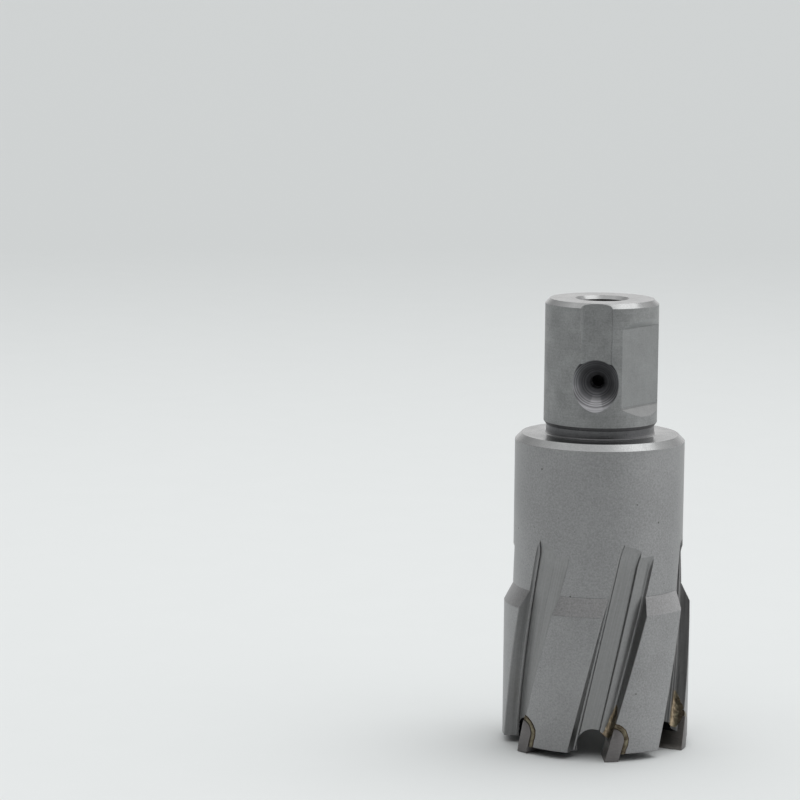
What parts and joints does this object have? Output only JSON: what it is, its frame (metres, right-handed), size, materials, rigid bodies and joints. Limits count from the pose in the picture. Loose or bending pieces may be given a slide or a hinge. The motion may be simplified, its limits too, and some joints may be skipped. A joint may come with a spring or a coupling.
{
  "type": "annular cutter",
  "caption": "Hollow annular cutter with helical flutes, brazed carbide tips and a stepped body, on a grooved and flatted shank for a magnetic drill arbor.",
  "frame": {"origin": "on the tool axis, in the plane of the carbide tips on which it stands", "axes": "+Z along the tool axis towards the shank, -Y through the first lock groove"},
  "size_m": [0.0318, 0.0314, 0.0757],
  "materials": {
    "tool_steel": "satin bead-blasted steel",
    "carbide": "ground tungsten carbide",
    "braze": "dull brazing alloy"
  },
  "bodies": {
    "root": {"cutter_body": "tool_steel", "carbide_tip_1": "carbide", "carbide_tip_2": "carbide", "carbide_tip_3": "carbide", "carbide_tip_4": "carbide", "carbide_tip_5": "carbide", "carbide_tip_6": "carbide", "braze_seam_1": "braze", "braze_seam_2": "braze", "braze_seam_3": "braze", "braze_seam_4": "braze", "braze_seam_5": "braze", "braze_seam_6": "braze"}
  },
  "joints": []
}
